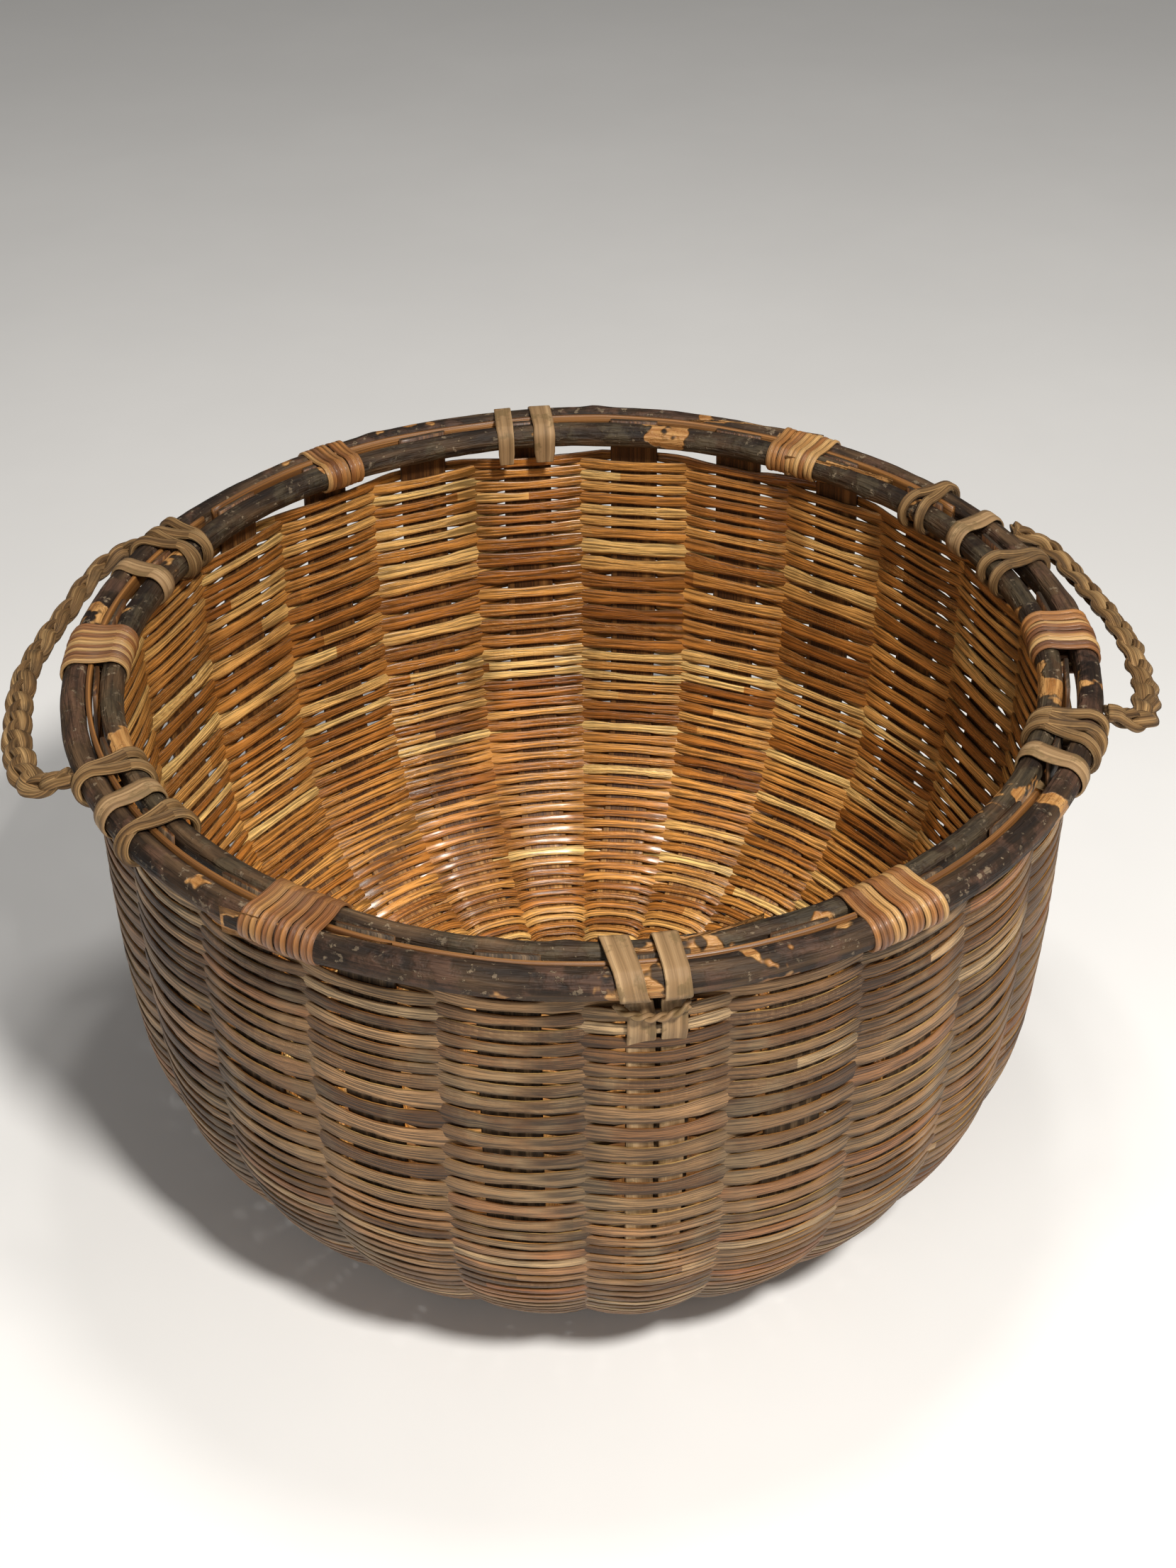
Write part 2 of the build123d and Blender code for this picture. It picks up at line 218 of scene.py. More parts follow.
def lofted(name, material, slot, node, sections, **settings):
    """A piece of the basket made of one loft."""
    skin = Skin()
    skin.loft(sections, **settings)
    fitted(skin.piece(name, material), slot, node)


def unit(vectors):
    return vectors / np.linalg.norm(vectors, axis=-1, keepdims=True)


def ripple(t, seed, waves=5):
    """Smooth repeatable unevenness, about -1 to 1, for t in turns or metres of any scale."""
    rng = np.random.default_rng(seed)
    total = 0.0
    for k in range(1, waves + 1):
        total = total + np.sin(2 * math.pi * (k * np.asarray(t) + rng.random())) / k ** 0.7
    return total / sum(1 / k ** 0.7 for k in range(1, waves + 1))


def swept(path, across, normals, outline, width, thickness):
    """Sections of an outline carried along a path: u lies across it, v along the normal."""
    width, thickness = (np.broadcast_to(size, (len(path),)) for size in (width, thickness))
    return np.stack([path + across * (u * width)[:, None] + normals * (v * thickness)[:, None]
                     for u, v in outline], 1)


def faces_of(outline):
    """1 on the outer face of an outline, -1 on the inner face and 0 at its edges."""
    return np.array([math.copysign(1, v) if abs(v) > 0.4 else 0.0 for _, v in outline])


def band_sections(path, normals, width, thickness):
    """Sections of a flat strip: a rounded oblong across each point of the path."""
    path, normals = np.asarray(path, float), unit(np.asarray(normals, float))
    across = unit(np.cross(normals, unit(np.gradient(path, axis=0))))
    outline = [(-0.5, -0.32), (-0.44, -0.5), (0.0, -0.5), (0.44, -0.5),
               (0.5, -0.32), (0.5, 0.32), (0.44, 0.5), (0.0, 0.5), (-0.44, 0.5), (-0.5, 0.32)]
    return swept(path, across, normals, outline, width, thickness), faces_of(outline)


def strand_sections(path, normals, wide, thick, points=10):
    """Sections of a round or oval strand."""
    path, normals = np.asarray(path, float), unit(np.asarray(normals, float))
    along = unit(np.gradient(path, axis=0))
    across = unit(np.cross(normals, along))
    up = np.cross(along, across)
    wide = np.broadcast_to(wide, (len(path),))[:, None]
    thick = np.broadcast_to(thick, (len(path),))[:, None]
    return np.stack([path + across * np.cos(a) * wide / 2 + up * np.sin(a) * thick / 2
                     for a in 2 * math.pi * np.arange(points) / points], 1)


def ridged(sections, path, seed, depth=0.07):
    """Lengthwise ridges on a strand, as left by the split fibres."""
    rng = np.random.default_rng(seed)
    swell = 1 + depth * (rng.random(sections.shape[1]) - 0.5) * 2
    drift = 1 + 0.04 * ripple(np.linspace(0, 5, len(path)), seed)
    return path[:, None, :] + (sections - path[:, None, :]) * (swell[None, :] * drift[:, None])[..., None]


def smooth_curve(points, count):
    """Evenly spread points on a rounded line through given ones."""
    points = np.asarray(points, float)
    padded = np.concatenate([[2 * points[0] - points[1]], points, [2 * points[-1] - points[-2]]])
    t = np.linspace(0, len(points) - 1 - 1e-9, count)
    i = t.astype(int)
    f = (t - i)[:, None]
    a, b, c, d = (padded[i + k] for k in range(4))
    return 0.5 * (2 * b + (c - a) * f + (2 * a - 5 * b + 4 * c - d) * f ** 2
                  + (3 * b - a - 3 * c + d) * f ** 3)


def polar(radius, azimuth, z):
    radius, azimuth, z = np.broadcast_arrays(radius, azimuth, z)
    return np.stack([radius * np.cos(azimuth), radius * np.sin(azimuth), z], -1)


# ---------------------------------------------------------------- node trees
def feed(tree, slot, value):
    if isinstance(value, Wire):
        tree.links.new(value.socket, slot)
    elif isinstance(value, bpy.types.NodeSocket):
        tree.links.new(value, slot)
    else:
        slot.default_value = value


def add(tree, kind, values=None, **settings):
    """A node with its settings made and its inputs fed, by name or by number."""
    node = tree.nodes.new(kind)
    for key, value in settings.items():
        setattr(node, key, value)
    for key, value in (values or {}).items():
        feed(tree, node.inputs[key], value)
    return node


def result(tree, kind, values, **settings):
    """The first output of a new node."""
    return add(tree, kind, values, **settings).outputs[0]


class Wire:
    """A number inside a node tree: arithmetic on it adds Math nodes."""

    def __init__(self, socket):
        self.socket = socket

    def math(self, operation, *others):
        tree = self.socket.id_data
        node = tree.nodes.new("ShaderNodeMath")
        node.operation = operation
        for slot, value in zip(node.inputs, (self,) + others):
            feed(tree, slot, value)
        return Wire(node.outputs[0])

    def __add__(self, other):
        return self.math("ADD", other)

    def __sub__(self, other):
        return self.math("SUBTRACT", other)

    def __mul__(self, other):
        return self.math("MULTIPLY", other)

    def __truediv__(self, other):
        return self.math("DIVIDE", other)

    def between(self, low, high, to_low=0.0, to_high=1.0):
        """Smooth step from one range to another, held at both ends."""
        tree = self.socket.id_data
        node = add(tree, "ShaderNodeMapRange", {0: self, 1: low, 2: high, 3: to_low, 4: to_high},
                   interpolation_type="SMOOTHSTEP")
        return Wire(node.outputs[0])


def open_tree(name, kind, inputs, outputs):
    """A node tree, its inputs as wires by name, and its output node."""
    tree = bpy.data.node_groups.new(name, kind)
    for side, sockets in (("INPUT", inputs), ("OUTPUT", outputs)):
        for socket_kind, names in sockets.items():
            for label in names.split(", "):
                tree.interface.new_socket(name=label, in_out=side,
                                          socket_type="NodeSocket" + socket_kind)
    inside = tree.nodes.new("NodeGroupInput")
    get = {socket.name: Wire(socket) for socket in inside.outputs if socket.name}
    return tree, get, tree.nodes.new("NodeGroupOutput")


def vector(tree, x=0.0, y=0.0, z=0.0):
    return add(tree, "ShaderNodeCombineXYZ", {0: x, 1: y, 2: z}).outputs[0]


def apart(tree, value):
    """The three numbers of a vector."""
    return [Wire(socket) for socket in add(tree, "ShaderNodeSeparateXYZ", {0: value}).outputs]


def noise(tree, place, scale, detail, roughness=0.5):
    values = {"Vector": place, "Scale": scale, "Detail": detail, "Roughness": roughness}
    return Wire(add(tree, "ShaderNodeTexNoise", values).outputs[0])


def stored(tree, geometry, name, value, kind="FLOAT", domain="POINT"):
    node = add(tree, "GeometryNodeStoreNamedAttribute", {"Geometry": geometry, "Name": name},
               data_type=kind, domain=domain)
    feed(tree, node.inputs["Value"], value)
    return node.outputs["Geometry"]


def named(tree, name):
    node = add(tree, "GeometryNodeInputNamedAttribute", {"Name": name}, data_type="FLOAT")
    return Wire(node.outputs[0])


def grown(name, mesh, tree, **sizes):
    """Runs a Geometry Nodes tree on a mesh and keeps the plain mesh that it makes."""
    host = bpy.data.objects.new(name, mesh)
    bpy.context.scene.collection.objects.link(host)
    modifier = host.modifiers.new(tree.name, "NODES")
    modifier.node_group = tree
    for item in tree.interface.items_tree:
        key = item.name.replace(" ", "_").lower()
        if item.in_out == "INPUT" and key in sizes:
            modifier[item.identifier] = sizes[key]
    graph = bpy.context.evaluated_depsgraph_get()
    made = bpy.data.meshes.new_from_object(host.evaluated_get(graph), depsgraph=graph,
                                           preserve_all_data_layers=True)
    host.modifiers.clear()
    bpy.data.objects.remove(host)
    return stood(name, made)


def woven_rows_tree():
    """Rows of split strip that pass in front of and behind the staves, one row per point."""
    tree, get, outside = open_tree("woven rows", "GeometryNodeTree", {
        "Geometry": "Geometry", "Int": "Steps", "Material": "Material",
        "Float": "Strip thickness, Weave depth, Stave pitch, Base pitch, Unevenness, Seed",
    }, {"Geometry": "Geometry"})
    grid = add(tree, "GeometryNodeMeshGrid", {"Size X": 1.0, "Size Y": 1.0,
                                              "Vertices X": get["Steps"], "Vertices Y": 9})
    across, up_grid, _ = apart(tree, tree.nodes.new("GeometryNodeInputPosition").outputs[0])
    flat = stored(tree, grid.outputs["Mesh"], "turn", across + 0.5)
    flat = stored(tree, flat, "loop", up_grid + 0.5)
    rows = result(tree, "GeometryNodeInstanceOnPoints",
                  {"Points": get["Geometry"], "Instance": flat})
    real = result(tree, "GeometryNodeRealizeInstances", {0: rows})

    turn, loop, parity, ring_r, ring_z, slope, tall, crisp, row = (
        named(tree, label) for label in ("turn", "loop", "parity", "ring_r", "ring_z", "slope",
                                         "tall", "crisp", "row"))
    azimuth = turn * (2 * math.pi)
    # signed stave number, counted from the nearest axis: the staves are the odd halves
    quarter = azimuth - (azimuth / (math.pi / 2)).math("ROUND") * (math.pi / 2)
    straight = (ring_r * quarter.math("SINE").math("ABSOLUTE")) / get["Base pitch"]
    stave = straight.math("MINIMUM", quarter.math("ABSOLUTE") / get["Stave pitch"])
    swing = (stave * math.pi).math("SINE") * quarter.math("SIGN") * parity
    wave = (swing * crisp).math("TANH") / crisp.math("TANH")
    # under the corners of the crossed staves the rows lie below them all
    x0 = (ring_r * azimuth.math("COSINE")).math("ABSOLUTE")
    y0 = (ring_r * azimuth.math("SINE")).math("ABSOLUTE")
    under = x0.math("MAXIMUM", y0).between(*CROSSING_EDGE, 1.0, 0.0)
    # over the two pairs of straps the outer strips stand a little further out
    near = azimuth - STRAP_PAIRS[0]
    near = (near - (near / math.pi).math("ROUND") * math.pi) / STRAP_PAIRS[1]
    bulge = (near * near * -1.0).math("EXPONENT") * wave.math("MAXIMUM", 0.0) * 0.0009
    depth = wave * get["Weave depth"] + bulge
    depth = depth + (get["Weave depth"] * 1.1 - depth) * under

    around = vector(tree, azimuth.math("COSINE") * 1.6, azimuth.math("SINE") * 1.6,
                    row * 0.73 + get["Seed"])
    shift = (noise(tree, around, 2.6, 2.0) - 0.5) * get["Unevenness"]
    fray = noise(tree, around, 11.0, 1.0) - 0.5

    lap = loop * (2 * math.pi) + math.pi / 8
    up, out = lap.math("COSINE"), lap.math("SINE")
    up = up.math("SIGN") * up.math("ABSOLUTE").math("POWER", 0.6)
    out_flat = out.math("SIGN") * out.math("ABSOLUTE").math("POWER", 0.45)
    squeeze = (wave * wave).between(0.35, 0.95, 1.0, 0.83)
    half_tall = tall * 0.5 * squeeze * (fray * 0.5 + 1.0)
    lift = up * half_tall + shift
    push = depth + out_flat * get["Strip thickness"] * 0.5 + fray * 0.0006
    radius = ring_r + slope.math("SINE") * push + slope.math("COSINE") * lift
    height = ring_z - slope.math("COSINE") * push + slope.math("SINE") * lift
    spot = vector(tree, radius * azimuth.math("COSINE"), radius * azimuth.math("SINE"), height)
    real = result(tree, "GeometryNodeSetPosition", {"Geometry": real, "Position": spot})
    real = stored(tree, real, "side", out)
    # painted shade: 1 midway between staves, where a strip crosses from in front of one stave to behind
    # the next, and 0 over the staves
    real = stored(tree, real, "cavity", (wave * wave).between(0.0, 0.6, 1.0, 0.0))
    real = stored(tree, real, "tone", named(tree, "row_tone"))
    map_uv = vector(tree, azimuth * ring_r, loop * tall * 2.2)
    real = stored(tree, real, "UVMap", map_uv, "FLOAT2", "CORNER")
    real = result(tree, "GeometryNodeMergeByDistance", {"Geometry": real, "Distance": 0.00001})
    feed(tree, outside.inputs[0], result(tree, "GeometryNodeSetMaterial",
                                         {"Geometry": real, "Material": get["Material"]}))
    return tree


def lashing_tree():
    """Turns of one closed loop, set side by side along the rim."""
    tree, get, outside = open_tree("lashing turns", "GeometryNodeTree", {
        "Geometry": "Geometry", "Int": "Turns, Seed", "Material": "Material",
        "Float": "Radius, Height, First angle, Angle step, Slant, Looseness",
    }, {"Geometry": "Geometry"})
    line = result(tree, "GeometryNodeMeshLine", {"Count": get["Turns"]})
    number = Wire(tree.nodes.new("GeometryNodeInputIndex").outputs[0])

    def chance(low, high, offset):
        node = add(tree, "FunctionNodeRandomValue", data_type="FLOAT")
        for slot, value in (("Min", low), ("Max", high)):
            found = [s for s in node.inputs if s.name == slot and s.type == "VALUE"][0]
            feed(tree, found, value)
        feed(tree, node.inputs["ID"], number)
        feed(tree, node.inputs["Seed"], get["Seed"] + offset)
        return Wire([s for s in node.outputs if s.type == "VALUE"][0])

    angle = get["First angle"] + number * get["Angle step"]
    angle = angle + chance(-0.12, 0.12, 1) * get["Angle step"]
    spot = vector(tree, get["Radius"] * angle.math("COSINE"),
                  get["Radius"] * angle.math("SINE"), get["Height"])
    line = result(tree, "GeometryNodeSetPosition", {"Geometry": line, "Position": spot})
    lean = get["Slant"] + chance(-1.0, 1.0, 2) * get["Looseness"]
    size = chance(0.985, 1.035, 3)
    turns = result(tree, "GeometryNodeInstanceOnPoints",
                   {"Points": line, "Instance": get["Geometry"],
                    "Rotation": vector(tree, lean, 0.0, angle),
                    "Scale": vector(tree, size, 1.0, size)})
    turns = stored(tree, turns, "tone", chance(0.0, 1.0, 4), domain="INSTANCE")
    real = result(tree, "GeometryNodeRealizeInstances", {0: turns})
    feed(tree, outside.inputs[0], result(tree, "GeometryNodeSetMaterial",
                                         {"Geometry": real, "Material": get["Material"]}))
    return tree


# ---------------------------------------------------------------- shader groups
def fibre_group():
    """Lines along the wood: a fine light and dark grain, and longer streaks."""
    tree, get, outside = open_tree("wood fibre", "ShaderNodeTree",
                                   {"Vector": "Vector", "Float": "Fineness, Run"},
                                   {"Float": "Fibre, Streak"})
    along, across, layer = apart(tree, get["Vector"])
    line = vector(tree, along * get["Run"], across * get["Fineness"], layer)
    fine = noise(tree, line, 1.0, 3.0, 0.65).between(0.28, 0.72)
    broad = vector(tree, along * get["Run"] * 0.35, across * get["Fineness"] * 0.22, layer + 4.0)
    streak = noise(tree, broad, 1.0, 2.0).between(0.3, 0.7)
    feed(tree, outside.inputs["Fibre"], fine)
    feed(tree, outside.inputs["Streak"], streak)
    return tree


def patch_group():
    """Irregular patches, such as lost bark, stains and dust, as a mask from 0 to 1."""
    tree, get, outside = open_tree("patches", "ShaderNodeTree",
                                   {"Vector": "Vector", "Float": "Size, Level, Edge"},
                                   {"Float": "Mask"})
    cloud = noise(tree, get["Vector"], get["Size"], 4.0, 0.6)
    feed(tree, outside.inputs["Mask"], cloud.between(get["Level"], get["Level"] + get["Edge"]))
    return tree


FIBRE = fibre_group()
PATCH = patch_group()


class Finish:
    """A material under construction: the Principled shader and the usual inputs."""

    def __init__(self, name, roughness=0.6, coat=0.0, specular=None):
        self.material = bpy.data.materials.new(name)
        self.material.use_nodes = True
        self.tree = self.material.node_tree
        self.tree.nodes.clear()
        self.shader = add(self.tree, "ShaderNodeBsdfPrincipled", {"Roughness": roughness})
        output = self.tree.nodes.new("ShaderNodeOutputMaterial")
        self.tree.links.new(self.shader.outputs[0], output.inputs["Surface"])
        if coat:
            self.shader.inputs["Coat Weight"].default_value = coat
            self.shader.inputs["Coat Roughness"].default_value = 0.22
        if specular is not None:
            self.shader.inputs["Specular IOR Level"].default_value = specular
        coordinates = self.tree.nodes.new("ShaderNodeTexCoord")
        self.uv = coordinates.outputs["UV"]
        self.place = coordinates.outputs["Object"]

    def number(self, name):
        node = self.tree.nodes.new("ShaderNodeAttribute")
        node.attribute_name = name
        return Wire(node.outputs["Fac"])

    def call(self, group, **values):
        node = add(self.tree, "ShaderNodeGroup", node_tree=group)
        for name, value in values.items():
            feed(self.tree, node.inputs[name], value)
        return [Wire(socket) for socket in node.outputs]

    def fibre(self, fineness, run):
        return self.call(FIBRE, Vector=self.uv, Fineness=fineness, Run=run)

    def patches(self, size, level, edge=0.08):
        return self.call(PATCH, Vector=self.place, Size=size, Level=level, Edge=edge)[0]

    def ramp(self, factor, *stops):
        node = add(self.tree, "ShaderNodeValToRGB", {"Fac": factor})
        elements = node.color_ramp.elements
        while len(elements) < len(stops):
            elements.new(0.5)
        for element, (position, colour) in zip(elements, stops):
            element.position = position
            element.color = (*colour, 1.0)
        return node.outputs["Color"]

    def mix(self, factor, low, high, blend="MIX"):
        node = add(self.tree, "ShaderNodeMix", data_type="RGBA", blend_type=blend)
        for slot, value in ((0, factor), (6, low), (7, high)):
            if isinstance(value, tuple):
                value = (*value, 1.0)
            feed(self.tree, node.inputs[slot], value)
        return node.outputs[2]

    def shade(self, colour, amount):
        """Colour times a grey number."""
        grey = add(self.tree, "ShaderNodeCombineColor", {0: amount, 1: amount, 2: amount})
        return self.mix(1.0, colour, grey.outputs[0], "MULTIPLY")

    def bump(self, height, distance, strength=1.0):
        node = add(self.tree, "ShaderNodeBump", {"Height": height, "Distance": distance,
                                                 "Strength": strength})
        feed(self.tree, self.shader.inputs["Normal"], node.outputs[0])

    def done(self, colour, roughness=None, coat=None):
        feed(self.tree, self.shader.inputs["Base Color"], colour)
        if roughness is not None:
            feed(self.tree, self.shader.inputs["Roughness"], roughness)
        if coat is not None:
            feed(self.tree, self.shader.inputs["Coat Weight"], coat)
        return self.material


def per_strip(finish, strip_length):
    """A random number for each length of strip in each row."""
    along = apart(finish.tree, finish.uv)[0]
    row = finish.number("tone")
    strip = ((along + row * 7.31) / strip_length).math("FLOOR")
    dice = add(finish.tree, "ShaderNodeTexWhiteNoise",
               {"Vector": vector(finish.tree, strip, row * 91.7)}, noise_dimensions="3D")
    spread = add(finish.tree, "ShaderNodeSeparateColor", {0: dice.outputs["Color"]})
    return Wire(spread.outputs[0]), Wire(spread.outputs[1])


def weft_finish():
    """Split strip: weathered bark outside, glossy golden wood inside, with painted shade in the recesses
    between the staves.
    """
    f = Finish("woven strip", coat=0.2, specular=0.35)
    side, cavity = f.number("side"), f.number("cavity")
    fibre, streak = f.fibre(1500.0, 26.0)
    shade, hue = per_strip(f, 0.38)
    bark = f.ramp(shade, (0.0, (0.082, 0.035, 0.011)), (0.3, (0.180, 0.092, 0.036)),
                  (0.55, (0.290, 0.170, 0.075)), (0.72, (0.285, 0.108, 0.036)),
                  (0.9, (0.370, 0.225, 0.104)), (1.0, (0.480, 0.325, 0.170)))
    grey = f.patches(30.0, 0.50, 0.2)
    bark = f.mix(grey * 0.5, bark, (0.240, 0.175, 0.095))
    soot = f.patches(9.0, 0.52, 0.2)
    bark = f.mix(soot * 0.5, bark, (0.060, 0.028, 0.009))
    golden = f.ramp(hue, (0.0, (0.240, 0.078, 0.012)), (0.35, (0.470, 0.180, 0.033)),
                    (0.7, (0.660, 0.305, 0.070)), (1.0, (0.900, 0.600, 0.215)))
    stain = f.patches(14.0, 0.50, 0.22)
    golden = f.mix(stain * 0.55, golden, (0.200, 0.060, 0.010))
    colour = f.mix(side.between(-0.45, 0.35), golden, bark)
    lines = fibre.between(0.2, 0.7, 0.38, 1.30)
    # painted shade: up to 22% darker midway between staves, where the strips cross through the wall
    colour = f.shade(colour, lines * (streak * 0.35 + 0.80) * (cavity * -0.22 + 1.0))
    f.bump(fibre, 0.0005, 0.75)
    rough = side.between(-0.3, 0.3, 0.24, 0.56) + (streak - 0.5) * 0.14
    return f.done(colour, rough, side.between(-0.2, 0.4, 0.45, 0.05))


def stave_finish():
    """Broad splint: straight grain in the split face, grey bark outside, with painted light making the
    split face lighter on the basket floor.
    """
    f = Finish("stave", coat=0.15)
    side = f.number("side")
    fibre, streak = f.fibre(1100.0, 6.0)
    wood = f.ramp(streak, (0.0, (0.060, 0.020, 0.004)), (0.5, (0.120, 0.045, 0.010)),
                  (1.0, (0.230, 0.100, 0.026)))
    bark = f.ramp(streak, (0.0, (0.036, 0.021, 0.010)), (0.6, (0.080, 0.047, 0.022)),
                  (1.0, (0.150, 0.094, 0.048)))
    # painted light: the split face turns lighter low down on the basket floor, below about 6 cm
    height = apart(f.tree, f.place)[2]
    floor = f.ramp(streak, (0.0, (0.250, 0.095, 0.020)), (0.5, (0.420, 0.180, 0.042)),
                   (1.0, (0.620, 0.320, 0.090)))
    wood = f.mix(height.between(0.010, 0.060), floor, wood)
    colour = f.mix(side.between(-0.3, 0.4), wood, bark)
    colour = f.shade(colour, fibre * 0.95 + 0.40)
    f.bump(fibre, 0.0004, 0.7)
    return f.done(colour, side.between(-0.3, 0.3, 0.50, 0.62), side.between(-0.3, 0.3, 0.10, 0.0))


def bark_finish(name, lost_level, tint):
    """Branch with its bark on: dark, streaked and ridged, with pale places where it came off."""
    f = Finish(name, specular=0.3)
    fibre, streak = f.fibre(330.0, 34.0)
    blotch = f.patches(75.0, 0.46, 0.16)
    bark = f.ramp(streak, (0.0, (0.009, 0.004, 0.002)), (0.5, (0.034, 0.018, 0.008)),
                  (1.0, (0.105, 0.060, 0.029)))
    bark = f.mix(blotch * 0.7, bark, tint)
    lichen = f.patches(240.0, 0.60, 0.05)
    bark = f.mix(lichen * 0.5, bark, (0.26, 0.195, 0.125))
    bark = f.shade(bark, fibre * 0.9 + 0.42)
    lost = f.patches(22.0, lost_level, 0.02)
    wood = f.ramp(fibre, (0.0, (0.24, 0.095, 0.022)), (1.0, (0.50, 0.27, 0.095)))
    cut = f.number("side").between(0.4, 0.6)
    lost = (lost + cut).math("MINIMUM", 1.0)
    colour = f.mix(lost, bark, wood)
    f.bump(fibre * 0.8 + blotch * 0.5 + lichen * 0.3 - lost * 0.8, 0.0009, 0.9)
    return f.done(colour, lost.between(0.0, 1.0, 0.66, 0.45))


def filler_finish():
    f = Finish("filler splint", coat=0.15)
    fibre, streak = f.fibre(1100.0, 10.0)
    wood = f.ramp(streak, (0.0, (0.080, 0.028, 0.006)), (1.0, (0.300, 0.130, 0.034)))
    f.bump(fibre, 0.0003, 0.5)
    return f.done(f.shade(wood, fibre * 0.7 + 0.55), 0.45)


def cane_finish():
    """Narrow cane: each turn its own brown or gold, glossy on the crown."""
    f = Finish("binding cane", coat=0.15)
    fibre, streak = f.fibre(1500.0, 18.0)
    tone = f.number("tone")
    cane = f.ramp(tone, (0.0, (0.120, 0.042, 0.013)), (0.2, (0.250, 0.095, 0.026)),
                  (0.4, (0.370, 0.160, 0.044)), (0.55, (0.210, 0.080, 0.024)),
                  (0.75, (0.430, 0.220, 0.070)), (1.0, (0.540, 0.330, 0.130)))
    dust = f.patches(90.0, 0.5, 0.15)
    cane = f.mix(dust * 0.15, cane, (0.30, 0.20, 0.12))
    f.bump(fibre, 0.0005, 0.8)
    return f.done(f.shade(cane, (fibre * 0.8 + 0.5) * (streak * 0.4 + 0.8)), 0.45)


def vine_finish():
    """Split vine: buff and grey strands with lengthwise fibres."""
    f = Finish("plaited vine", specular=0.3)
    fibre, streak = f.fibre(1300.0, 14.0)
    tone = f.number("tone")
    vine = f.ramp(streak * 0.7 + tone * 0.3, (0.0, (0.090, 0.044, 0.016)),
                  (0.5, (0.260, 0.145, 0.055)), (1.0, (0.480, 0.300, 0.130)))
    grime = f.patches(60.0, 0.50, 0.18)
    vine = f.mix(grime * 0.55, vine, (0.100, 0.062, 0.032))
    f.bump(fibre, 0.0008, 1.0)
    return f.done(f.shade(vine, fibre * 1.0 + 0.40), 0.62)


def bast_finish():
    """Flat pale strap, soft-edged and stained."""
    f = Finish("bast strap", specular=0.3)
    fibre, streak = f.fibre(900.0, 16.0)
    strap = f.ramp(streak, (0.0, (0.190, 0.112, 0.050)), (0.6, (0.310, 0.190, 0.090)),
                   (1.0, (0.440, 0.290, 0.150)))
    stain = f.patches(110.0, 0.53, 0.08)
    strap = f.mix(stain * 0.65, strap, (0.170, 0.110, 0.045))
    f.bump(fibre, 0.0003, 0.7)
    return f.done(f.shade(strap, fibre * 0.4 + 0.72), 0.6)


WEFT = weft_finish()
STAVE = stave_finish()
OUTER_BARK = bark_finish("outer hoop bark", 0.60, (0.085, 0.042, 0.025))
INNER_BARK = bark_finish("inner hoop bark", 0.59, (0.066, 0.049, 0.027))
FILLER = filler_finish()
CANE = cane_finish()
VINE = vine_finish()
BAST = bast_finish()


# ---------------------------------------------------------------- camera, floor and light
def set_camera():
    lens, long_side = 3203.0, 2212.0  # focal length and picture height in the same unit
    distance, elevation, roll = 1.061, math.radians(36.45), math.radians(0.46)
    target = Vector((0.0025, 0.0, RIM_TOP - 0.0799))
    back = Vector((0, -math.cos(elevation), math.sin(elevation)))
    right = Vector((1, 0, 0))
    up = back.cross(right)
    across = right * math.cos(roll) - up * math.sin(roll)
    upright = right * math.sin(roll) + up * math.cos(roll)
    data = bpy.data.cameras.new("camera")
    data.sensor_width = 36.0
    data.lens = 36.0 * lens / long_side
    data.clip_end = 50
    camera = bpy.data.objects.new("camera", data)
    bpy.context.scene.collection.objects.link(camera)
    turn = Matrix((across, upright, back)).transposed().to_4x4()
    camera.matrix_world = Matrix.Translation(target + back * distance) @ turn
    bpy.context.scene.camera = camera


def area_light(name, place, aim, size, power, colour=(1, 1, 1)):
    data = bpy.data.lights.new(name, "AREA")
    data.shape = "DISK"
    data.size = size
    data.energy = power
    data.color = colour
    light = bpy.data.objects.new(name, data)
    bpy.context.scene.collection.objects.link(light)
    light.location = place
    light.rotation_euler = (Vector(aim) - Vector(place)).to_track_quat("-Z", "Y").to_euler()


def set_studio():
    floor = bpy.data.meshes.new("floor")
    half = 4.0
    floor.from_pydata([(-half, -half, 0), (half, -half, 0), (half, half, 0), (-half, half, 0)],
                      [], [(0, 1, 2, 3)])
    f = Finish("pale floor", 0.6)
    cloud = f.patches(3.0, 0.3, 0.5)
    floor.materials.append(f.done(f.mix(cloud, (0.84, 0.84, 0.84), (0.88, 0.88, 0.88))))
    made = bpy.data.objects.new("floor", floor)
    bpy.context.scene.collection.objects.link(made)
    world = bpy.data.worlds.new("studio")
    world.use_nodes = True
    world.node_tree.nodes["Background"].inputs[0].default_value = (1.0, 0.98, 0.95, 1)
    world.node_tree.nodes["Background"].inputs[1].default_value = 0.12
    bpy.context.scene.world = world
    bpy.context.scene.view_settings.view_transform = "Standard"
    area_light("key", (0.52, -1.03, 1.72), (0, 0, 0.1), 0.24, 42, (1.0, 0.96, 0.90))
    area_light("overhead", (0.10, 0.10, 1.80), (0, 0, 0.05), 0.30, 9, (1.0, 0.97, 0.92))
    area_light("front", (-0.9, -1.6, 1.0), (0, 0, 0.15), 1.0, 6, (1.0, 0.97, 0.93))


set_camera()
set_studio()


